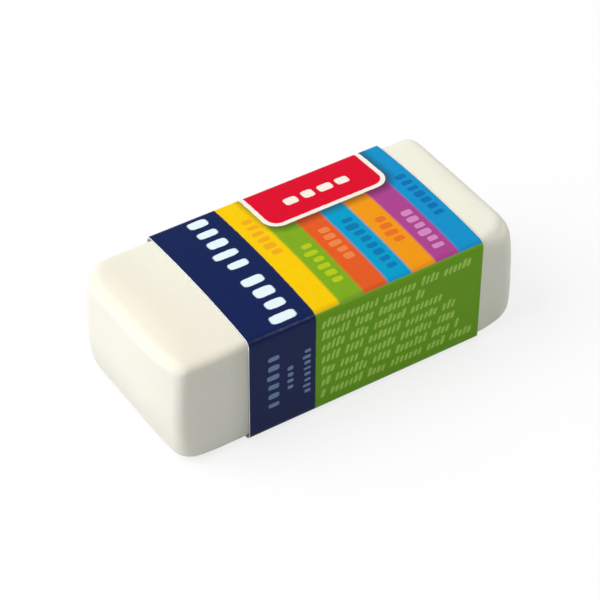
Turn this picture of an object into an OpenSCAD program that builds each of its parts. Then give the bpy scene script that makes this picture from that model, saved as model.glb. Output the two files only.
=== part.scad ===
// Small vinyl eraser in a folded card sleeve.
// The block is moulded in one piece. The sleeve is one strip of printed card that is
// folded round the block, with its end flap glued behind its back wall, and it can be
// slid along the block as the block wears down.
// Lengths are in millimetres. X runs along the eraser and Z is up. The origin is on the
// table, below the middle of the block's length and of the sleeve's width.

/* [Block] */
// Length of the block, between the fullest places of its two ends
block_len = 39.8; // [34:0.1:60]
// Width of the block
block_w = 18.05; // [14:0.05:28]
// Height of the block along its long edges
block_h = 12.2; // [9:0.1:18]
// Radius of the long edges of the top and the underside
edge_r = 0.9; // [0.7:0.05:1.5]
// Radius of the edges above and below the two ends
end_edge_r = 1.5; // [0.9:0.05:2]
// Length over which the long edges grow rounder towards the corners
blend_len = 3; // [1:0.5:5]
// Radius of the four upright edges at the block's corners
corner_r = 2.2; // [2:0.1:4]
// How far each end swells out over half the height
end_swell = 0.35; // [0:0.05:0.8]
// How far below half height the ends swell most, as a share of half the height
swell_drop = 0.15; // [0:0.05:0.4]
// Rise of the middle of the block's top above its long edges
crown = 0.3; // [0:0.05:0.6]

/* [Sleeve] */
// Length of the sleeve, measured along the block
sleeve_len = 26.7; // [18:0.1:32]
// Distance from the middle of the block to the middle of the sleeve
sleeve_shift = 1.6; // [-3:0.1:3]
// Thickness of the card
card_t = 0.16; // [0.12:0.01:0.4]
// Running gap between the card and the block on each side
slide_gap = 0.05; // [0.03:0.01:0.2]
// Inside radius of the folds
fold_r = 0.65; // [0.3:0.05:0.8]
// How much more the top panel bows up than the block below it
panel_lift = 0.05; // [0.05:0.05:0.5]
// Width of the glued flap behind the back wall
flap_w = 10; // [4:0.1:10.4]
// Height of the back wall's cut edge above the start of the fold below it
seam_lap = 0.2; // [0.1:0.05:1]

/* [Print] */
// Width of the dark band that goes round the sleeve at its left end
band_w = 7.4; // [3:0.1:12]

/* [Hidden] */
$fn = 40;
fold_steps = 8;
bow_steps = 16;
swell_step = 0.25;
blend_step = 0.25;
line = 0.01;

vinyl_white = "#f6f2e6";
band_navy = "#1a2860";
side_green = "#77b522";
// The stripes across the top, from the band to the right end
stripe_colors = ["#ffcd0a", "#82b928", "#f05a23", "#00a0e1", "#fa9b19", "#af4196", "#1e91d2"];

// The block is a little off the sleeve's centre, as the back wall is two cards thick
block_y = -card_t / 2;
block_z = card_t + slide_gap;

// The long edges keep their radius, and the top its crown, over this length
straight_len = block_len - 2 * (corner_r + 2 * end_swell + blend_len);

// Space inside the sleeve, up to the flap and up to the back wall
room_h = block_h + 2 * slide_gap;
room_w_at_flap = block_w + 2 * slide_gap;
room_w_at_top = room_w_at_flap + card_t;
front_y = block_y - block_w / 2 - slide_gap;

// The top panel is a shallow arc between its two folds
bow = crown + panel_lift;
bow_angle = 2 * atan(bow / (room_w_at_top / 2 - fold_r));
bow_r = (room_w_at_top / 2 - fold_r * (1 - sin(bow_angle))) / sin(bow_angle);
wall_flat = room_h - fold_r - fold_r * cos(bow_angle);

// The strip as it lies round the block, in three parts from the flap's free edge to the
// back wall's. Each entry is [length of a flat, angle of a bend, its inside radius, steps]
lower_strip = [
    [flap_w, 0, 0, 1],
    [0, 90, fold_r, fold_steps],
    [room_w_at_flap - 2 * fold_r, 0, 0, 1],
    [0, 90, fold_r, fold_steps],
    [wall_flat, 0, 0, 1],
    [0, 90 - bow_angle, fold_r, fold_steps]
];
top_strip = [[0, 2 * bow_angle, bow_r, bow_steps]];
back_strip = [
    [0, 90 - bow_angle, fold_r, fold_steps],
    [wall_flat - seam_lap, 0, 0, 1]
];

// Where each part starts on its inside face, as [y, z, heading]
lower_start = [front_y + room_w_at_flap, card_t + fold_r + flap_w, -90];
top_start = last(walk(lower_strip, lower_start));
back_start = last(walk(top_strip, top_start));

function last(list) = list[len(list) - 1];

// The place reached after a share of one flat or one bend to the right
function along(entry, at, share) =
    let (length = share * entry[0], heading = at[2] - share * entry[1], r = entry[2])
    [
        at[0] + length * cos(at[2]) + r * (sin(at[2]) - sin(heading)),
        at[1] + length * sin(at[2]) + r * (cos(heading) - cos(at[2])),
        heading
    ];

// Every place that draws a part of the strip, from entry i on
function walk(part, at, i = 0) =
    i == len(part) ? [at] : concat(
        [for (k = [0 : part[i][3] - 1]) along(part[i], at, k / part[i][3])],
        walk(part, along(part[i], at, 1), i + 1)
    );

// Start of a stripe along the sleeve, kept to hundredths so that neighbours meet exactly
function stripe_at(i) =
    i == len(stripe_colors)
        ? sleeve_len
        : round(100 * (band_w + i * (sleeve_len - band_w) / len(stripe_colors))) / 100;

// Rounding of one corner, as a ring whose tube has the radius of the edges
module corner_ring() {
    rotate_extrude()
        intersection() {
            translate([corner_r - end_edge_r, 0])
                circle(r = end_edge_r);
            translate([0, -end_edge_r])
                square([corner_r, 2 * end_edge_r]);
        }
}

// Rounding of the four long edges at a share of the way from their straight part to the
// corners at one end, as thin discs
module edge_discs(end, share) {
    r = edge_r + (end_edge_r - edge_r) * share * share;
    for (side = [-1, 1], z = [r, block_h - r])
        translate([end * (straight_len / 2 + share * blend_len), side * (block_w / 2 - r), z])
            rotate([0, 90, 0])
            cylinder(h = line, r = r, center = true);
}

// A thin line along the top, at the given share of the half width, that carries the crown
module crown_line(share) {
    translate([
        -straight_len / 2,
        share * (block_w / 2 - edge_r) - line / 2,
        block_h - line + crown * (1 - share * share)
    ])
        cube([straight_len, line, line]);
}

module eraser_block() {
    color(vinyl_white)
        translate([0, block_y, block_z])
        hull() {
            for (end = [-1, 1], side = [-1, 1], level = [-1 : swell_step : 1])
                translate([
                    end * (block_len / 2 - end_swell * pow(level + swell_drop, 2) - corner_r),
                    side * (block_w / 2 - corner_r),
                    block_h / 2 + level * (block_h / 2 - end_edge_r)
                ])
                    corner_ring();
            for (end = [-1, 1], share = [0 : blend_step : 1])
                edge_discs(end, share);
            for (share = [-0.75 : 0.25 : 0.75])
                crown_line(share);
        }
}

// A part of the strip between two places along the sleeve
module card(part, start, from, to) {
    places = walk(part, start);
    inside = [for (p = places) [p[0], p[1]]];
    outside = [for (p = places) [p[0] - card_t * sin(p[2]), p[1] + card_t * cos(p[2])]];
    translate([0, 0, from])
        linear_extrude(to - from)
        polygon(concat(inside, [for (k = [len(outside) - 1 : -1 : 0]) outside[k]]));
}

module card_sleeve() {
    translate([sleeve_shift - sleeve_len / 2, 0, 0])
        rotate([90, 0, 90]) {
            color(band_navy) {
                card(lower_strip, lower_start, 0, stripe_at(0));
                card(top_strip, top_start, 0, stripe_at(0));
                card(back_strip, back_start, 0, stripe_at(0));
            }
            color(side_green) {
                card(lower_strip, lower_start, stripe_at(0), sleeve_len);
                card(back_strip, back_start, stripe_at(0), sleeve_len);
            }
            for (i = [0 : len(stripe_colors) - 1])
                color(stripe_colors[i])
                    card(top_strip, top_start, stripe_at(i), stripe_at(i + 1));
        }
}

eraser_block();
card_sleeve();
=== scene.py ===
# Small vinyl eraser in a printed card sleeve. Blender works in metres, the sizes below are in millimetres.
import math
import bpy
import bmesh
from mathutils import Matrix, Vector, noise


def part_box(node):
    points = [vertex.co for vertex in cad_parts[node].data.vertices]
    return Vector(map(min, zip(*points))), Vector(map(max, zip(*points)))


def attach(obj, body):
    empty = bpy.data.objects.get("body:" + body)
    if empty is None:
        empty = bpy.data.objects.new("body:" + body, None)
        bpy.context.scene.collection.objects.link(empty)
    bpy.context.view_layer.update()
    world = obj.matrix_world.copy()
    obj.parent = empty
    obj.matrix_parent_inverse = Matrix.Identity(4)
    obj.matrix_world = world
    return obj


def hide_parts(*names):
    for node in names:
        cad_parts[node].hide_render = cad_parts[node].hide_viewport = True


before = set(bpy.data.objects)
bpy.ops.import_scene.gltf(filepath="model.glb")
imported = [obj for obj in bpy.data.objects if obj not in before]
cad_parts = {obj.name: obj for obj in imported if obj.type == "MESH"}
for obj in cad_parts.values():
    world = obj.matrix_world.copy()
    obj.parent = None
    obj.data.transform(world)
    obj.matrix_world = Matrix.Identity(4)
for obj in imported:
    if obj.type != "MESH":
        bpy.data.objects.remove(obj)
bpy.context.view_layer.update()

mm = 0.001


def linear(hexColor):
    # sRGB hex to the linear values that Blender's sockets hold
    parts = [int(hexColor[i:i + 2], 16) / 255 for i in (1, 3, 5)]
    return [p / 12.92 if p <= 0.04045 else ((p + 0.055) / 1.055) ** 2.4 for p in parts] + [1.0]


def connect(tree, node, links):
    # A link's value is either another node's socket or a plain value
    for socket, value in links.items():
        if isinstance(value, bpy.types.NodeSocket):
            tree.links.new(value, node.inputs[socket])
        else:
            node.inputs[socket].default_value = value


def addNode(tree, kind, settings=None, links=None):
    made = tree.nodes.new("ShaderNode" + kind)
    for name, value in (settings or {}).items():
        setattr(made, name, value)
    connect(tree, made, links or {})
    return made


def newMaterial(name):
    material = bpy.data.materials.new(name)
    material.use_nodes = True
    tree = material.node_tree
    shader = tree.nodes["Principled BSDF"]
    return material, tree, shader


def finishPiece(name, mesh, body, node):
    piece = bpy.data.objects.new(name, mesh)
    bpy.context.collection.objects.link(piece)
    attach(piece, body)
    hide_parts(node)
    return piece


# The camera
cameraPlace = {
    "location": (-96.246, -146.598, 158.945),
    "right": (0.83811, -0.54549, 0.0042),
    "up": (0.35664, 0.55374, 0.75245),
    "lens": 142.64,
}

cameraData = bpy.data.cameras.new("tableCamera")
cameraData.lens = cameraPlace["lens"]
cameraData.sensor_width = 36
cameraData.clip_start = 0.01
cameraData.clip_end = 20
camera = bpy.data.objects.new("tableCamera", cameraData)
bpy.context.collection.objects.link(camera)
cameraRight = Vector(cameraPlace["right"]).normalized()
cameraBack = cameraRight.cross(Vector(cameraPlace["up"])).normalized()
cameraUp = cameraBack.cross(cameraRight)
cameraTurn = Matrix((cameraRight, cameraUp, cameraBack)).transposed().to_4x4()
camera.matrix_world = Matrix.Translation(Vector(cameraPlace["location"]) * mm) @ cameraTurn
bpy.context.scene.camera = camera
print("camera placed")


# The block: soft PVC, cast in a mould, and a little used at its ends
vinylBlock = {
    "cuts": 63,                    # grid cuts along each edge of the cube that it starts from
    "edgeRadius": 0.9,             # the long edges, inside the sleeve
    "footBlend": (15.5, 19.0),     # from the middle, the lower ones take up the ends' radii between these
    "crown": 0.32,                 # rise of the top's middle
    "lift": 0.04,                  # and how much nearer to the card it comes than the CAD solid does
    "sinkDepth": 0.12,             # shallow sink in the bare part of the top
    "sinkFrom": 4.4,               # its middle, from the left end
    "sinkReach": (2.2, 7.5),       # and how far it reaches from there, along and across
    "frontShare": 0.7,             # share of the front half over which the front's own form comes in
    "leanBend": 0.3,               # softness of the bend where an end starts to lean back
    "levelInset": 1.0,             # levels 1 and -1 of an end lie this far inside the top and the foot
    "nipShare": 0.25,              # share of the half length over which the front wall turns in
    "wander": 0.03,                # uneven hand-feel of the moulded faces
    "wanderSize": 6.25,
    "wanderSeed": (3.1, 7.7, 1.9),
    # The two ends. Radii of an end's edges above and below, and height and reach of the rounding of
    # the top's front edge. Radii of the upright edges in front and behind, at mid height, above and
    # below. Where the upper edges take up their radii, and where the crown fades, in mm from the
    # middle. How far and over what length the top slumps, and the share of that lost in front. At
    # which level the end is fullest, how it leans back above that and tucks in below it, the share of
    # the tuck lost in front, how far the end turns back in front, and how far the front wall turns in.
    "right": {
        "top": 1.2, "foot": 1.8, "brow": (2.1, 1.9), "front": (2.0, 3.4, 2.4), "behind": (1.7, 1.7, 2.2),
        "blend": (13.5, 18.0), "fade": (17.0, 21.0), "slump": 0.1, "slumpLength": 2.5, "slumpLoss": 0.9,
        "fullest": -0.6, "lean": 0.3, "tuck": 1.6, "tuckLoss": 0.0, "turn": 0.0, "nip": 0.0},
    "left": {
        "top": 1.2, "foot": 1.2, "brow": (0.8, 1.5), "front": (1.05, 1.55, 2.4), "behind": (2.5, 3.4, 2.5),
        "blend": (11.0, 16.5), "fade": (15.5, 19.5), "slump": 0.4, "slumpLength": 3.5, "slumpLoss": 0.9,
        "fullest": -0.12, "lean": 0.33, "tuck": 0.8, "tuckLoss": 0.7, "turn": 0.75, "nip": 0.3},
    # Its colours
    "side": "#f8f7ec",
    "freshSide": "#fbf9eb",
    "handledShadedTop": "#f3ecdb",          # the upward faces on the used end, handled; painted shade makes them creamier and darker than the sides, and darker still against the light that the slumped top catches
    "fresh": "#f5f3e2",            # and where the sleeve has kept them clean, with the same painted shade against the sides, but painted a little lighter against the shade of the sleeve's step
    "handledTo": (-15.0, -10.5),   # along X, the used end passes into the clean part between these
    "aslant": 0.3,                 # how far that border runs along for each mm across
    "upFrom": (0.2, 0.9),          # upward part of a face's normal, from side to upward face, over which the painted top shade comes in
    # painted contact shade: the sides are painted darker beside the card's cut
    "cutShadeColor": "#ccd0c4",
    "cutShadeAt": -11.75,              # along X, where that painted shade is darkest, at the card's cut
    "cutShadeReach": 2.1,              # and this far to each side of it
    "cutShadeShare": 0.5,
    "cloudSize": 9.0,              # slow drift of colour
    "cloudShare": 0.5,
    # Its surface
    "grainSize": 0.22,             # the mould's blasted texture, twice as coarse as it is so that it shows
    "grainDepth": 0.012,
    "grainStrength": 0.6,
    "softSize": 2.6,               # gentle unevenness below the grain
    "softDepth": 0.02,
    "roughness": (0.52, 0.66),
}


def smooth(value, start, end):
    t = min(max((value - start) / (end - start), 0), 1)
    return t * t * (3 - 2 * t)


def setBack(level, forward, end, bend):
    # How far an end stands back from its fullest place
    above = level - end["fullest"]
    if above < 0:
        back = end["tuck"] * above ** 2 * (1 - end["tuckLoss"] * forward)
    else:
        back = end["lean"] * (math.hypot(above, bend) - bend)
    return back + end["turn"] * forward


def edgeRadii(cube, x, y, z, half, end, shape):
    # Radius of the upright edge and, at a corner, the way out from its centre. Then height and reach
    # of the rounding between a side and the top or the underside.
    edge = shape["edgeRadius"]
    upper = cube.z > 0
    middle, above, below = end["behind"] if cube.y > 0 else end["front"]
    corner = middle + ((above if upper else below) - middle) * (z / half.z) ** 4
    beyond = Vector((x - (half.x - corner), y - (half.y - corner)))
    outward = beyond.normalized() if beyond.x > 0 and beyond.y > 0 else None
    height = reach = end["top"] if upper else end["foot"]
    if upper:
        toWall = float(half.y - y < half.x - x) if outward is None else outward.y ** 2
        wall = end["brow"] if cube.y < 0 else (edge, edge)
        height += (wall[0] - height) * toWall
        reach += (wall[1] - reach) * toWall
    nearEnd = smooth(x, *(end["blend"] if upper else shape["footBlend"]))
    return corner, outward, edge + (height - edge) * nearEnd, edge + (reach - edge) * nearEnd


def roundedPlace(x, y, z, half, onSide, corner, outward, height, reach):
    # Where a place on the plain box comes to lie on the rounded one
    inset = min(half.x - x, half.y - y)
    flatZ = half.z - height
    newInset = inset
    newZ = half.z
    if onSide:
        angle = math.atan(max(z - flatZ, 0) / height)
        newInset = reach * (1 - math.cos(angle))
        newZ = z if z < flatZ else flatZ + height * math.sin(angle)
    elif inset < reach:
        angle = math.pi / 2 - math.atan((reach - inset) / reach)
        newInset = reach * (1 - math.cos(angle))
        newZ = flatZ + height * math.sin(angle)
    if outward is not None:
        away = outward * max(corner - newInset, 0)
        return half.x - corner + away.x, half.y - corner + away.y, newZ
    if half.x - x < half.y - y:
        return half.x - newInset, y, newZ
    return x, half.y - newInset, newZ


def softBlock(low, high, shape):
    # A cube's grid is pushed on to the rounded block, with closer rows near its edges
    centre = (low + high) / 2
    half = (high - low) / 2
    half.z -= shape["crown"] / 2
    centre.z -= shape["crown"] / 2
    grid = bmesh.new()
    bmesh.ops.create_cube(grid, size=2)
    bmesh.ops.subdivide_edges(grid, edges=grid.edges[:], cuts=shape["cuts"], use_grid_fill=True)
    for vert in grid.verts:
        cube = vert.co.copy()
        end = shape["right"] if cube.x > 0 else shape["left"]
        onSide = max(abs(cube.x), abs(cube.y)) > 0.9999
        x, y, z = (abs(1.5 * t - 0.5 * t ** 3) * h for t, h in zip(cube, half))
        corner, outward, height, reach = edgeRadii(cube, x, y, z, half, end, shape)
        newX, newY, newZ = roundedPlace(x, y, z, half, onSide, corner, outward, height, reach)
        spot = Vector([math.copysign(new, old) for new, old in zip((newX, newY, newZ), cube)])
        # the top is crowned across, and flatter towards the ends
        flatZ = half.z - height
        if cube.z > 0 and newZ > flatZ:
            rise = (1 - min(newY / (half.y - reach), 1) ** 2) * (1 - smooth(newX, *end["fade"]))
            spot.z += (shape["crown"] + shape["lift"]) * rise * (newZ - flatZ) / height
        # the top slumps, the front wall turns in, and the end's face leans, tucks in and turns
        forward = min(max(shape["frontShare"] - 1 - spot.y / half.y, 0) / shape["frontShare"], 1) ** 2
        if cube.z > 0:
            towardEnd = max((newX - half.x) / end["slumpLength"] + 1, 0) ** 2.5
            spot.z -= end["slump"] * (1 - end["slumpLoss"] * forward) * towardEnd * (newZ / half.z) ** 3
        towardEnd = max((newX / half.x - 1) / shape["nipShare"] + 1, 0)
        spot.y += end["nip"] * towardEnd ** 2 * max(-spot.y / half.y, 0) ** 4
        back = setBack(spot.z / (half.z - shape["levelInset"]), forward, end, shape["leanBend"])
        spot.x -= math.copysign(1, cube.x) * back * (newX / half.x) ** 8
        # a shallow sink near the left end, and the uneven feel of soft plastic
        sinkAlong = (spot.x + half.x - shape["sinkFrom"]) / shape["sinkReach"][0]
        sink = math.exp(-sinkAlong ** 2 - (spot.y / shape["sinkReach"][1]) ** 4)
        spot.z -= shape["sinkDepth"] * sink * max(spot.z / half.z, 0) ** 4
        swell = noise.noise(spot / shape["wanderSize"] + Vector(shape["wanderSeed"]))
        spot -= vert.normal * shape["wander"] * (0.5 + 0.5 * swell)
        vert.co = (spot + centre) * mm
    bmesh.ops.recalc_face_normals(grid, faces=grid.faces[:])
    for face in grid.faces:
        face.smooth = True
    mesh = bpy.data.meshes.new("vinylBlock")
    grid.to_mesh(mesh)
    grid.free()
    return mesh


blockLow, blockHigh = (Vector(v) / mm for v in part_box("eraser_block"))
blockMesh = softBlock(blockLow, blockHigh, vinylBlock)
block = finishPiece("vinylBlock", blockMesh, "block", "eraser_block")

# Moulded PVC eraser: chalk-filled and soft, so it is matt with a wide faint sheen, and light sinks in
# a little
vinyl, tree, shader = newMaterial("mouldedVinyl")
coords = addNode(tree, "TexCoord").outputs
place = coords["Object"]
placeAxes = addNode(tree, "SeparateXYZ", None, {0: place}).outputs
facing = addNode(tree, "SeparateXYZ", None, {0: coords["Normal"]}).outputs["Z"]
# Faces that look up take the top colours: a painted shade, creamier and darker than the sides
upward = addNode(tree, "MapRange", None, {
    "Value": facing, "From Min": vinylBlock["upFrom"][0], "From Max": vinylBlock["upFrom"][1]}).outputs[0]
cloud = addNode(tree, "TexNoise", None, {
    "Vector": place, "Scale": 1 / (vinylBlock["cloudSize"] * mm), "Detail": 2}).outputs["Fac"]
paintedTopShare = addNode(tree, "Math", {"operation": "MULTIPLY_ADD"}, {
    0: cloud, 1: vinylBlock["cloudShare"], 2: upward}).outputs[0]
paintedTopShare = addNode(tree, "MapRange", None, {
    "Value": paintedTopShare, "From Max": 1 + vinylBlock["cloudShare"] / 2}).outputs[0]
aslant = addNode(tree, "Math", {"operation": "MULTIPLY_ADD"}, {
    0: placeAxes["Y"], 1: vinylBlock["aslant"], 2: placeAxes["X"]}).outputs[0]
# from the used end to the clean end; the colours change partly with handling and partly as painted light
# and shade
fresh = addNode(tree, "MapRange", None, {
    "Value": aslant, "From Min": vinylBlock["handledTo"][0] * mm,
    "From Max": vinylBlock["handledTo"][1] * mm}).outputs[0]
side = addNode(tree, "Mix", {"data_type": "RGBA"}, {
    0: fresh, 6: linear(vinylBlock["side"]), 7: linear(vinylBlock["freshSide"])}).outputs[2]
# painted contact shade, darkening the sides towards the card's cut on both sides of it
fromCut = addNode(tree, "Math", {"operation": "SUBTRACT"}, {
    0: placeAxes["X"], 1: vinylBlock["cutShadeAt"] * mm}).outputs[0]
fromCut = addNode(tree, "Math", {"operation": "ABSOLUTE"}, {0: fromCut}).outputs[0]
paintedCutShade = addNode(tree, "MapRange", None, {
    "Value": fromCut, "From Min": vinylBlock["cutShadeReach"] * mm, "From Max": 0,
    "To Max": vinylBlock["cutShadeShare"]}).outputs[0]
side = addNode(tree, "Mix", {"data_type": "RGBA"}, {
    0: paintedCutShade, 6: side, 7: linear(vinylBlock["cutShadeColor"])}).outputs[2]
# the top colours, painted shade on both ends, with handling on the used end
cream = addNode(tree, "Mix", {"data_type": "RGBA"}, {
    0: fresh, 6: linear(vinylBlock["handledShadedTop"]), 7: linear(vinylBlock["fresh"])}).outputs[2]
tint = addNode(tree, "Mix", {"data_type": "RGBA"}, {0: paintedTopShare, 6: side, 7: cream}).outputs[2]
grain = addNode(tree, "TexNoise", None, {
    "Vector": place, "Scale": 1 / (vinylBlock["grainSize"] * mm), "Detail": 3}).outputs["Fac"]
soft = addNode(tree, "TexNoise", None, {
    "Vector": place, "Scale": 1 / (vinylBlock["softSize"] * mm), "Detail": 1}).outputs["Fac"]
rough = addNode(tree, "MapRange", None, {
    "Value": grain, "To Min": vinylBlock["roughness"][0], "To Max": vinylBlock["roughness"][1]}).outputs[0]
softBump = addNode(tree, "Bump", None, {
    "Height": soft, "Strength": 1.0, "Distance": vinylBlock["softDepth"] * mm}).outputs[0]
grainBump = addNode(tree, "Bump", None, {
    "Height": grain, "Strength": vinylBlock["grainStrength"], "Distance": vinylBlock["grainDepth"] * mm,
    "Normal": softBump}).outputs[0]
connect(tree, shader, {
    "Base Color": tint, "Roughness": rough, "Normal": grainBump, "IOR": 1.52, "Specular IOR Level": 0.4,
    "Subsurface Weight": 0.25, "Subsurface Radius": (1.0, 0.8, 0.6), "Subsurface Scale": 0.8 * mm})
block.data.materials.append(vinyl)
print("block made,", len(block.data.vertices), "points")


# The sleeve: one strip of coated card, printed flat, die-cut and then folded
cardSleeve = {
    "cardThickness": 0.16,
    "foldRadius": 0.65,      # inside
    "foldSteps": 14,
    "bowRise": 0.35,         # how far the top panel bows up
    "innerHeight": 12.3,
    "innerWidth": 18.15,     # up to the glued flap
    "flap": 10.0,
    "seamAbove": 0.2,        # height of the back wall's cut edge above the lower fold
    "step": 0.5,             # between grid lines on the flats
    "burr": 0.06,            # width of the rounding that the die leaves at a cut
    "cutWander": 0.018,      # unevenness of the die-cut ends
    "cutWaves": 1.3,         # of it to the mm
    "drawnThinner": 0.004,   # than the card is, on the inside, so that it stays clear of the block
    # Its inks
    "navy": "#152557",
    "green": "#77b21b",
    "white": "#ecfaff",
    "paleNavy": "#7b92bc",
    "paleGreen": "#b6e262",
    "red": "#e2062c",
    "cream": "#fbf3e6",
    "labelShade": "#2a1d10",
    # Stripes from the band to the right end, each with the tone of its little blocks
    "stripes": [
        ("#fdce00", "#f5ae1c"), ("#81ae1e", "#b7cc18"), ("#e85d23", "#f2874a"), ("#009fcd", "#087ab4"),
        ("#f69b12", "#ee7426"), ("#b04591", "#d58bc0"), ("#1293cd", "#0873b4")],
    "bandWidth": 7.4,
    "blur": 0.3,             # over which two inks run into each other
    "inkEdge": 0.03,         # half the softness of a label's edge
    "foldEdge": 0.05,        # and of the line where an ink ends at a fold
    "bandEdge": 0.06,        # and of the band's edge
    "inkDrift": 0.12,        # how far the edges of the inks wander
    "inkDriftSize": 0.4545,
    # Kinds of plain rounded block, each with the pitch of its row, its height, how much of the pitch
    # it fills, the share of gaps and how far it leans
    "stripeBlock": {"pitch": 1.08, "height": 1.5, "fill": 0.8, "gaps": 0.0, "lean": 0.0},
    "lineBlock": {"pitch": 0.54, "height": 1.12, "fill": 0.8, "gaps": 0.14, "lean": 0.25},
    "bandBlock": {"pitch": 1.86, "height": 2.9, "fill": 0.72, "gaps": 0.0, "lean": 0.0},
    "labelBlock": {"pitch": 2.0, "height": 1.5, "fill": 0.9, "gaps": 0.0, "lean": 0.0},
    "largeSideBlock": {"pitch": 1.18, "height": 1.7, "fill": 0.6, "gaps": 0.0, "lean": 0.0},
    "middleSideBlock": {"pitch": 0.8, "height": 0.85, "fill": 0.6, "gaps": 0.0, "lean": 0.0},
    "smallSideBlock": {"pitch": 0.73, "height": 0.95, "fill": 0.6, "gaps": 0.0, "lean": 0.0},
    # A row in each stripe: where it starts from the middle of the top, and how many blocks
    "stripeRows": [(-0.6, 6), (-6.9, 6), (-4.7, 5), (-7.9, 8), (-5.2, 4), (-7.9, 6), (-4.0, 7)],
    "stripeSeed": 11,
    # Lines on the front wall: how many blocks, where they start along, the first one's height above
    # the middle of the wall, and the step down to the next
    "lineCounts": [32, 22, 26, 29, 29, 30, 33],
    "lineFrom": 8.05,
    "lineAbove": 4.65,
    "lineStep": 1.475,
    "lineSeed": 31,
    # On the band's top: where along, then for each row its start from the middle, count and seed
    "bandAlong": 4.45,
    "bandRows": [(-8.9, 4, 3), (-0.6, 5, 5)],
    # On the band's front wall: where along, start from the middle, count, seed and kind
    "sideRows": [
        (2.45, -3.5, 6, 1, "largeSideBlock"), (4.45, -1.9, 4, 2, "middleSideBlock"),
        (6.35, -3.3, 8, 4, "smallSideBlock")],
    # A plain label over the back fold, between these places along the sleeve, from this far behind
    # the middle of the top to this far down the back
    "label": {
        "left": 10.2, "right": 24.4, "front": 2.9, "behind": 2.6, "radius": 1.7, "line": 0.5,
        "shadeShift": (0.15, -0.35, 0), "shadeFrom": 0.9, "shadeTo": -0.1, "shadeShare": 0.6,
        "rowAlong": 13.4, "rowBehind": 6.1, "rowCount": 4, "rowSeed": 9},
    # Its surface
    "mottleSize": 0.7143,    # uneven ink
    "mottleTone": (0.93, 1.05),
    "roughness": (0.36, 0.5),
    "rubbed": "#b9b3b4",     # ink that is rubbed thin
    "rubSize": 1.111,
    "rubShare": 0.2,
    "rubReach": (0.17, 0.03),   # to each side of a fold, from nothing to full
    "fibreSize": 0.16667,
    "fibreDepth": 0.006,
    # The board without ink
    "inside": "#e9e7df",
    "insideFibreSize": 0.5,
    "core": "#f9fafd",
    "coreDark": "#d9dbe0",
    "pulpSize": 0.18,
}


def stripPath(shape):
    # Places on the outside of the strip from the flap's free edge on, as (y, z, distance), and the
    # middle of each part
    thickness = shape["cardThickness"]
    inner = shape["foldRadius"]
    outer = inner + thickness
    topWidth = shape["innerWidth"] + thickness
    bowAngle = 2 * math.atan(shape["bowRise"] / (topWidth / 2 - inner))
    bowRadius = (topWidth / 2 - inner * (1 - math.sin(bowAngle))) / math.sin(bowAngle) + thickness
    wall = shape["innerHeight"] - inner - inner * math.cos(bowAngle)
    turn = math.pi / 2
    parts = [
        ("flapCut", shape["burr"], 0, 0),
        ("flap", shape["flap"] - shape["burr"], 0, 0),
        ("lowerBackFold", 0, turn, outer),
        ("underside", shape["innerWidth"] - 2 * inner, 0, 0),
        ("lowerFrontFold", 0, turn, outer),
        ("front", wall, 0, 0),
        ("upperFrontFold", 0, turn - bowAngle, outer),
        ("top", 0, 2 * bowAngle, bowRadius),
        ("upperBackFold", 0, turn - bowAngle, outer),
        ("back", wall - shape["seamAbove"] - shape["burr"], 0, 0),
        ("backCut", shape["burr"], 0, 0),
    ]
    y = topWidth / 2
    z = thickness + inner + shape["flap"]
    heading = -turn
    distance = 0
    places = [(y, z, distance)]
    middles = {}
    for name, length, angle, radius in parts:
        whole = length + angle * radius
        steps = shape["foldSteps"] if "Fold" in name else max(2, round(whole / shape["step"]))
        middles[name] = distance + whole / 2
        for i in range(steps):
            y += length / steps * math.cos(heading)
            z += length / steps * math.sin(heading)
            if angle:
                after = heading - angle / steps
                y += radius * (math.sin(heading) - math.sin(after))
                z += radius * (math.cos(after) - math.cos(heading))
                heading = after
            distance += whole / steps
            places.append((y, z, distance))
    return places, middles


def foldedCard(low, high, shape):
    places, middles = stripPath(shape)
    columns = round((high.x - low.x) / shape["step"])
    across = [low.x + (high.x - low.x) * i / columns for i in range(columns + 1)]
    across.insert(1, low.x + shape["burr"])
    across.insert(-1, high.x - shape["burr"])
    card = bmesh.new()
    flat = card.loops.layers.uv.new("flatStrip")
    rows = []
    for y, z, distance in places:
        row = []
        for i, x in enumerate(across):
            if i in (0, len(across) - 1):
                wave = noise.noise(Vector((distance * shape["cutWaves"], i, 0))) * 0.5 + 0.5
                x += shape["cutWander"] * (wave if i == 0 else -wave)
            vert = card.verts.new(Vector((x, y, z)) * mm)
            row.append((vert, (x - low.x, distance)))
        rows.append(row)
    for a, b in zip(rows, rows[1:]):
        for i in range(len(across) - 1):
            corners = [a[i], a[i + 1], b[i + 1], b[i]]
            face = card.faces.new([c[0] for c in corners])
            face.smooth = True
            for loop, c in zip(face.loops, corners):
                loop[flat].uv = (c[1][0] / 100, c[1][1] / 100)   # a tenth of a metre of card to one UV unit
    mesh = bpy.data.meshes.new("cardSleeve")
    card.normal_update()
    card.to_mesh(mesh)
    card.free()
    return mesh, middles


sleeveLow, sleeveHigh = (Vector(v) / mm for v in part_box("card_sleeve"))
sleeveMesh, stripMiddle = foldedCard(sleeveLow, sleeveHigh, cardSleeve)
sleeve = finishPiece("cardSleeve", sleeveMesh, "sleeve", "card_sleeve")
thickness = sleeve.modifiers.new("cardThickness", "SOLIDIFY")
thickness.thickness = (cardSleeve["cardThickness"] - cardSleeve["drawnThinner"]) * mm
thickness.offset = -1
thickness.use_even_offset = True
thickness.material_offset = 1       # the plain inside
thickness.material_offset_rim = 2   # the raw cut edges
print("sleeve folded,", len(sleeve.data.vertices), "points")


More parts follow.
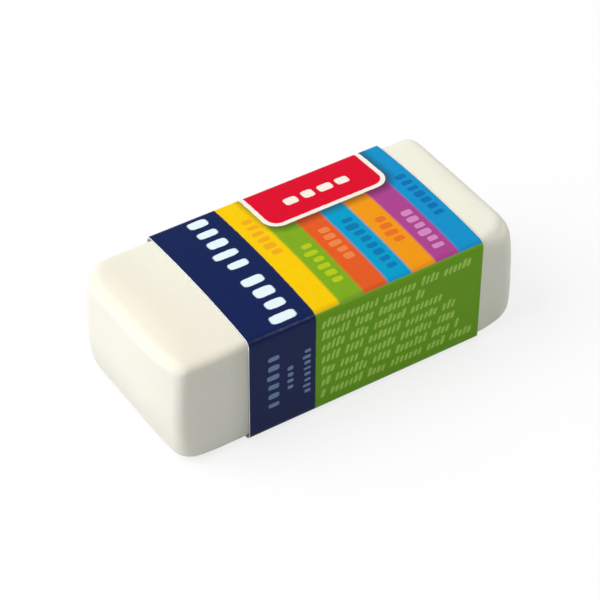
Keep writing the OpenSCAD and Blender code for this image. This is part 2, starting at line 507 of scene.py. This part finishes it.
def blockRowGroup():
    # A row of plain rounded blocks of uneven size, read along X of the place that it is given, in mm
    group = bpy.data.node_groups.new("printedBlockRow", "ShaderNodeTree")
    group.interface.new_socket("place", in_out="INPUT", socket_type="NodeSocketVector")
    for name in ("count", "pitch", "height", "fill", "gaps", "seed", "lean"):
        group.interface.new_socket(name, in_out="INPUT", socket_type="NodeSocketFloat")
    group.interface.new_socket("ink", in_out="OUTPUT", socket_type="NodeSocketFloat")
    given = group.nodes.new("NodeGroupInput").outputs
    out = group.nodes.new("NodeGroupOutput")
    # which cell of the row a place is in, and where in that cell
    axes = addNode(group, "SeparateXYZ", None, {0: given["place"]}).outputs
    slant = addNode(group, "Math", {"operation": "MULTIPLY"}, {0: axes["Y"], 1: given["lean"]}).outputs[0]
    upright = addNode(group, "Math", {"operation": "SUBTRACT"}, {0: axes["X"], 1: slant}).outputs[0]
    cells = addNode(group, "Math", {"operation": "DIVIDE"}, {0: upright, 1: given["pitch"]}).outputs[0]
    cell = addNode(group, "Math", {"operation": "FLOOR"}, {0: cells}).outputs[0]
    inCell = addNode(group, "Math", {"operation": "FRACT"}, {0: cells}).outputs[0]
    # each block's own width and height, all of them standing on one line
    key = addNode(group, "CombineXYZ", None, {0: cell, 1: given["seed"]}).outputs[0]
    chance = addNode(group, "TexWhiteNoise", {"noise_dimensions": "2D"}, {"Vector": key}).outputs["Color"]
    chances = addNode(group, "SeparateColor", None, {0: chance}).outputs
    widthShare = addNode(group, "MapRange", None, {
        "Value": chances[0], "To Min": 0.34, "To Max": 0.5}).outputs[0]
    halfWidth = addNode(group, "Math", {"operation": "MULTIPLY"}, {
        0: widthShare, 1: given["fill"]}).outputs[0]
    tall = addNode(group, "Math", {"operation": "POWER"}, {0: chances[1], 1: 2.0}).outputs[0]
    heightShare = addNode(group, "MapRange", None, {
        "Value": tall, "To Min": 0.35, "To Max": 0.5}).outputs[0]
    halfHeight = addNode(group, "Math", {"operation": "MULTIPLY"}, {
        0: heightShare, 1: given["height"]}).outputs[0]
    fromMiddle = addNode(group, "Math", {"operation": "SUBTRACT"}, {0: inCell, 1: 0.5}).outputs[0]
    alongShare = addNode(group, "Math", {"operation": "DIVIDE"}, {0: fromMiddle, 1: halfWidth}).outputs[0]
    halfRow = addNode(group, "Math", {"operation": "MULTIPLY"}, {0: given["height"], 1: 0.5}).outputs[0]
    fromFoot = addNode(group, "Math", {"operation": "ADD"}, {0: axes["Y"], 1: halfRow}).outputs[0]
    fromCentre = addNode(group, "Math", {"operation": "SUBTRACT"}, {0: fromFoot, 1: halfHeight}).outputs[0]
    upShare = addNode(group, "Math", {"operation": "DIVIDE"}, {0: fromCentre, 1: halfHeight}).outputs[0]
    # a rounded block is where the fourth powers of the two shares add up to less than one
    share = addNode(group, "CombineXYZ", None, {0: alongShare, 1: upShare}).outputs[0]
    squared = addNode(group, "VectorMath", {"operation": "MULTIPLY"}, {0: share, 1: share}).outputs[0]
    fourth = addNode(group, "VectorMath", {"operation": "MULTIPLY"}, {0: squared, 1: squared}).outputs[0]
    total = addNode(group, "VectorMath", {"operation": "DOT_PRODUCT"}, {
        0: fourth, 1: (1, 1, 1)}).outputs["Value"]
    body = addNode(group, "MapRange", None, {
        "Value": total, "From Min": 1.3, "From Max": 0.8, "To Min": 0, "To Max": 1}).outputs[0]
    started = addNode(group, "Math", {"operation": "GREATER_THAN"}, {0: cell, 1: -0.5}).outputs[0]
    going = addNode(group, "Math", {"operation": "LESS_THAN"}, {0: cells, 1: given["count"]}).outputs[0]
    # gaps come at uneven but never neighbouring cells
    turns = addNode(group, "Math", {"operation": "MULTIPLY"}, {0: cell, 1: 0.382}).outputs[0]
    shifted = addNode(group, "Math", {"operation": "MULTIPLY_ADD"}, {
        0: given["seed"], 1: 0.37, 2: turns}).outputs[0]
    order = addNode(group, "Math", {"operation": "FRACT"}, {0: shifted}).outputs[0]
    filled = addNode(group, "Math", {"operation": "GREATER_THAN"}, {0: order, 1: given["gaps"]}).outputs[0]
    inRow = addNode(group, "Math", {"operation": "MULTIPLY"}, {0: started, 1: going}).outputs[0]
    shown = addNode(group, "Math", {"operation": "MULTIPLY"}, {0: inRow, 1: filled}).outputs[0]
    ink = addNode(group, "Math", {"operation": "MULTIPLY"}, {0: body, 1: shown}).outputs[0]
    group.links.new(ink, out.inputs["ink"])
    return group


blockRow = blockRowGroup()

# Coated carton board, offset printed and varnished: flat even ink with a satin sheen, a little worn
# at the folds
printedCard, tree, shader = newMaterial("printedCartonBoard")
uv = addNode(tree, "UVMap", {"uv_map": "flatStrip"}).outputs[0]
strip = addNode(tree, "VectorMath", {"operation": "SCALE"}, {0: uv, "Scale": 100}).outputs[0]   # in mm
wobble = addNode(tree, "TexNoise", None, {
    "Vector": strip, "Scale": 1 / cardSleeve["inkDriftSize"], "Detail": 2}).outputs["Color"]
centred = addNode(tree, "VectorMath", {"operation": "SUBTRACT"}, {0: wobble, 1: (0.5, 0.5, 0.5)}).outputs[0]
drift = addNode(tree, "VectorMath", {"operation": "SCALE"}, {
    0: centred, "Scale": cardSleeve["inkDrift"]}).outputs[0]
printed = addNode(tree, "VectorMath", {"operation": "ADD"}, {0: strip, 1: drift}).outputs[0]
printedAxes = addNode(tree, "SeparateXYZ", None, {0: printed}).outputs
along = printedAxes["X"]
around = printedAxes["Y"]


def rowMask(direction, startAlong, startAround, count, seed, blocks):
    # "back" runs over the top towards the back, "up" up the front wall, "right" along the sleeve
    turn = {"right": 0.0, "back": -math.pi / 2, "up": -math.pi / 2}[direction]
    turned = Matrix.Rotation(turn, 3, "Z") @ Vector((startAlong, startAround, 0))
    place = addNode(tree, "Mapping", None, {
        "Vector": printed, "Location": -turned, "Rotation": (0, 0, turn)}).outputs[0]
    row = addNode(tree, "Group", {"node_tree": blockRow}, {
        "place": place, "count": count, "seed": seed, **blocks})
    return row.outputs["ink"]


sleeveLength = sleeveHigh.x - sleeveLow.x
band = cardSleeve["bandWidth"]
stripeWidth = (sleeveLength - band) / len(cardSleeve["stripes"])
blur = cardSleeve["blur"]
topMiddle = stripMiddle["top"]
frontMiddle = stripMiddle["front"]
frontFold = stripMiddle["upperFrontFold"]
backFold = stripMiddle["upperBackFold"]

# the stripes, as stops along the sleeve
stops = []
for i, (ink, _) in enumerate(cardSleeve["stripes"]):
    stops.append((band + i * stripeWidth + (blur / 2 if i else -band), ink))
    stops.append((band + (i + 1) * stripeWidth - blur / 2, ink))
alongShare = addNode(tree, "Math", {"operation": "DIVIDE"}, {0: along, 1: sleeveLength}).outputs[0]
ramp = addNode(tree, "ValToRGB", None, {0: alongShare})
while len(ramp.color_ramp.elements) > 1:
    ramp.color_ramp.elements.remove(ramp.color_ramp.elements[-1])
ramp.color_ramp.elements[0].position = 0
ramp.color_ramp.elements[0].color = linear(stops[0][1])
for distance, ink in stops[1:]:
    ramp.color_ramp.elements.new(min(distance / sleeveLength, 1)).color = linear(ink)

# they end at the upper folds, with green on the walls
foldEdge = cardSleeve["foldEdge"]
pastFront = addNode(tree, "MapRange", None, {
    "Value": around, "From Min": frontFold - foldEdge, "From Max": frontFold + foldEdge}).outputs[0]
beforeBack = addNode(tree, "MapRange", None, {
    "Value": around, "From Min": backFold + foldEdge, "From Max": backFold - foldEdge}).outputs[0]
onTop = addNode(tree, "Math", {"operation": "MULTIPLY"}, {0: pastFront, 1: beforeBack}).outputs[0]
color = addNode(tree, "Mix", {"data_type": "RGBA"}, {
    0: onTop, 6: linear(cardSleeve["green"]), 7: ramp.outputs["Color"]}).outputs[2]

# Each further ink with the mask that it is printed through, in the order of printing
layers = []

# little tone-on-tone blocks in each stripe
for i, (start, count) in enumerate(cardSleeve["stripeRows"]):
    middle = band + (i + 0.5) * stripeWidth
    seed = cardSleeve["stripeSeed"] + i
    mask = rowMask("back", middle, topMiddle + start, count, seed, cardSleeve["stripeBlock"])
    layers.append((mask, cardSleeve["stripes"][i][1]))

# lines of small blocks on the front wall
for i, count in enumerate(cardSleeve["lineCounts"]):
    height = frontMiddle + cardSleeve["lineAbove"] - i * cardSleeve["lineStep"]
    seed = cardSleeve["lineSeed"] + i
    mask = rowMask("right", cardSleeve["lineFrom"], height, count, seed, cardSleeve["lineBlock"])
    layers.append((mask, cardSleeve["paleGreen"]))

# the dark band, with its blocks
inBand = addNode(tree, "MapRange", None, {
    "Value": along, "From Min": band + cardSleeve["bandEdge"], "From Max": band - cardSleeve["bandEdge"]})
layers.append((inBand.outputs[0], cardSleeve["navy"]))
for start, count, seed in cardSleeve["bandRows"]:
    mask = rowMask("back", cardSleeve["bandAlong"], topMiddle + start, count, seed, cardSleeve["bandBlock"])
    layers.append((mask, cardSleeve["white"]))
for middle, start, count, seed, kind in cardSleeve["sideRows"]:
    mask = rowMask("up", middle, frontMiddle + start, count, seed, cardSleeve[kind])
    layers.append((mask, cardSleeve["paleNavy"]))

# the label, with a pale line round it and a soft printed shade
label = cardSleeve["label"]
labelLow = Vector((label["left"], topMiddle + label["front"], 0))
labelHigh = Vector((label["right"], backFold + label["behind"], 0))
labelInner = (labelHigh - labelLow) / 2 - Vector((label["radius"], label["radius"], 0))
edges = []
for shift in (label["shadeShift"], (0, 0, 0)):
    offset = addNode(tree, "VectorMath", {"operation": "SUBTRACT"}, {
        0: printed, 1: (labelLow + labelHigh) / 2 + Vector(shift)}).outputs[0]
    mirrored = addNode(tree, "VectorMath", {"operation": "ABSOLUTE"}, {0: offset}).outputs[0]
    past = addNode(tree, "VectorMath", {"operation": "SUBTRACT"}, {0: mirrored, 1: labelInner}).outputs[0]
    outside = addNode(tree, "VectorMath", {"operation": "MAXIMUM"}, {0: past, 1: (0, 0, 0)}).outputs[0]
    length = addNode(tree, "VectorMath", {"operation": "LENGTH"}, {0: outside}).outputs["Value"]
    edge = addNode(tree, "Math", {"operation": "SUBTRACT"}, {0: length, 1: label["radius"]}).outputs[0]
    edges.append(edge)
shadeEdge, labelEdge = edges
inkEdge = cardSleeve["inkEdge"]
for edge, start, end, most, ink in (
        (shadeEdge, label["shadeFrom"], label["shadeTo"], label["shadeShare"], "labelShade"),
        (labelEdge, inkEdge, -inkEdge, 1.0, "cream"),
        (labelEdge, inkEdge - label["line"], -inkEdge - label["line"], 1.0, "red")):
    mask = addNode(tree, "MapRange", None, {
        "Value": edge, "From Min": start, "From Max": end, "To Max": most}).outputs[0]
    layers.append((mask, cardSleeve[ink]))
mask = rowMask("right", label["rowAlong"], topMiddle + label["rowBehind"], label["rowCount"],
               label["rowSeed"], cardSleeve["labelBlock"])
layers.append((mask, cardSleeve["cream"]))

for mask, ink in layers:
    color = addNode(tree, "Mix", {"data_type": "RGBA"}, {0: mask, 6: color, 7: linear(ink)}).outputs[2]

# ink lies a little unevenly, and is rubbed thin along the folds
mottle = addNode(tree, "TexNoise", None, {
    "Vector": strip, "Scale": 1 / cardSleeve["mottleSize"], "Detail": 4, "Roughness": 0.6}).outputs["Fac"]
mottleTone = addNode(tree, "MapRange", None, {
    "Value": mottle, "To Min": cardSleeve["mottleTone"][0],
    "To Max": cardSleeve["mottleTone"][1]}).outputs[0]
color = addNode(tree, "VectorMath", {"operation": "SCALE"}, {0: color, "Scale": mottleTone}).outputs[0]
nearest = None
for name in ("upperFrontFold", "upperBackFold", "lowerFrontFold", "lowerBackFold"):
    off = addNode(tree, "Math", {"operation": "SUBTRACT"}, {0: around, 1: stripMiddle[name]}).outputs[0]
    off = addNode(tree, "Math", {"operation": "ABSOLUTE"}, {0: off}).outputs[0]
    nearest = off if nearest is None else addNode(
        tree, "Math", {"operation": "MINIMUM"}, {0: nearest, 1: off}).outputs[0]
onFold = addNode(tree, "MapRange", None, {
    "Value": nearest, "From Min": cardSleeve["rubReach"][0],
    "From Max": cardSleeve["rubReach"][1]}).outputs[0]
rubs = addNode(tree, "TexNoise", None, {
    "Vector": strip, "Scale": 1 / cardSleeve["rubSize"], "Detail": 3}).outputs["Fac"]
rubbed = addNode(tree, "MapRange", None, {
    "Value": rubs, "From Min": 0.3, "From Max": 0.7, "To Max": cardSleeve["rubShare"]}).outputs[0]
wear = addNode(tree, "Math", {"operation": "MULTIPLY"}, {0: onFold, 1: rubbed}).outputs[0]
color = addNode(tree, "Mix", {"data_type": "RGBA"}, {
    0: wear, 6: color, 7: linear(cardSleeve["rubbed"])}).outputs[2]
rough = addNode(tree, "MapRange", None, {
    "Value": mottle, "To Min": cardSleeve["roughness"][0], "To Max": cardSleeve["roughness"][1]}).outputs[0]
fibres = addNode(tree, "TexNoise", None, {
    "Vector": strip, "Scale": 1 / cardSleeve["fibreSize"], "Detail": 3}).outputs["Fac"]
paperBump = addNode(tree, "Bump", None, {
    "Height": fibres, "Strength": 0.5, "Distance": cardSleeve["fibreDepth"] * mm}).outputs[0]
connect(tree, shader, {
    "Base Color": color, "Roughness": rough, "Normal": paperBump, "IOR": 1.5, "Specular IOR Level": 0.1})
sleeve.data.materials.append(printedCard)

# Inside of the board, uncoated: dull and faintly fibrous
boardInside, tree, shader = newMaterial("uncoatedBoardInside")
place = addNode(tree, "TexCoord").outputs["Object"]
fibre = addNode(tree, "TexNoise", None, {
    "Vector": place, "Scale": 1 / (cardSleeve["insideFibreSize"] * mm), "Detail": 4}).outputs["Fac"]
color = addNode(tree, "Mix", {"data_type": "RGBA"}, {
    0: fibre, 6: linear(cardSleeve["inside"]), 7: linear(cardSleeve["coreDark"])}).outputs[2]
connect(tree, shader, {"Base Color": color, "Roughness": 0.9, "Specular IOR Level": 0.2})
sleeve.data.materials.append(boardInside)

# Cut edge of the board: white pulp in thin layers, a little fluffed by the die
boardEdge, tree, shader = newMaterial("dieCutBoardEdge")
place = addNode(tree, "TexCoord").outputs["Object"]
pulp = addNode(tree, "TexNoise", None, {
    "Vector": place, "Scale": 1 / (cardSleeve["pulpSize"] * mm), "Detail": 3}).outputs["Fac"]
layered = addNode(tree, "MapRange", None, {"Value": pulp, "From Min": 0.45, "From Max": 0.8}).outputs[0]
color = addNode(tree, "Mix", {"data_type": "RGBA"}, {
    0: layered, 6: linear(cardSleeve["core"]), 7: linear(cardSleeve["coreDark"])}).outputs[2]
connect(tree, shader, {"Base Color": color, "Roughness": 0.85, "Specular IOR Level": 0.2})
sleeve.data.materials.append(boardEdge)
print("print and card finished")


# The floor and the light
studio = {
    "floorReach": 4000,
    "floorDrop": 0.02,
    "floorSeen": "#fdfdfd",    # what the camera and reflections see
    "floorBounce": "#c8c8c6",  # what lights the object's sides
    "shadowShare": 0.22,       # how much of the floor's own shade the camera sees
    "worldLevel": 0.31,
    "worldColor": (0.955, 1.0, 1.045, 1),
    # Two large soft lamps, at this distance and of this size
    "distance": 1600,
    "size": 1400,
    "keyFrom": (-0.66, 0.26, 0.75),
    "keyWatts": 27.4,
    "keyColor": (1.0, 0.99, 0.975),
    "fillFrom": (0.93, -0.12, 0.3),
    "fillWatts": 7.5,
    "fillColor": (1.0, 0.97, 0.9),
}

reach = studio["floorReach"] * mm
floorCorners = [(-reach, -reach, 0), (reach, -reach, 0), (reach, reach, 0), (-reach, reach, 0)]
floorMesh = bpy.data.meshes.new("paperFloor")
floorMesh.from_pydata(floorCorners, [], [(0, 1, 2, 3)])
floor = bpy.data.objects.new("paperFloor", floorMesh)
floor.location.z = -studio["floorDrop"] * mm
bpy.context.collection.objects.link(floor)

# Plain white paper. It is paler for the camera and for reflections than for the light that it throws back.
floorPaper, tree, shader = newMaterial("plainWhitePaper")
path = addNode(tree, "LightPath").outputs
seen = addNode(tree, "Math", {"operation": "MAXIMUM"}, {
    0: path["Is Camera Ray"], 1: path["Is Glossy Ray"]}).outputs[0]
seen = addNode(tree, "Math", {"operation": "MAXIMUM"}, {0: seen, 1: path["Is Transmission Ray"]}).outputs[0]
floorColor = addNode(tree, "Mix", {"data_type": "RGBA"}, {
    0: seen, 6: linear(studio["floorBounce"]), 7: linear(studio["floorSeen"])}).outputs[2]
connect(tree, shader, {"Base Color": floorColor, "Roughness": 1.0, "Specular IOR Level": 0.0})
glow = addNode(tree, "Emission", None, {"Color": (1, 1, 1, 1), "Strength": 1.0}).outputs[0]
glowShare = addNode(tree, "Math", {"operation": "MULTIPLY"}, {
    0: seen, 1: 1 - studio["shadowShare"]}).outputs[0]
floorMix = addNode(tree, "MixShader", None, {0: glowShare, 1: shader.outputs[0], 2: glow}).outputs[0]
tree.links.new(floorMix, tree.nodes["Material Output"].inputs["Surface"])
floorMesh.materials.append(floorPaper)

world = bpy.data.worlds.new("softRoom")
bpy.context.scene.world = world
world.use_nodes = True
connect(world.node_tree, world.node_tree.nodes["Background"], {
    "Color": studio["worldColor"], "Strength": studio["worldLevel"]})

for name in ("key", "fill"):
    lampData = bpy.data.lights.new(name + "Lamp", "AREA")
    lampData.shape = "SQUARE"
    lampData.size = studio["size"] * mm
    lampData.energy = studio[name + "Watts"]
    lampData.color = studio[name + "Color"]
    lamp = bpy.data.objects.new(name + "Lamp", lampData)
    bpy.context.collection.objects.link(lamp)
    lampFrom = Vector(studio[name + "From"]).normalized()
    lamp.location = lampFrom * studio["distance"] * mm
    lamp.rotation_euler = lampFrom.to_track_quat("Z", "Y").to_euler()

bpy.context.scene.view_settings.view_transform = "Standard"
print("floor and light set")
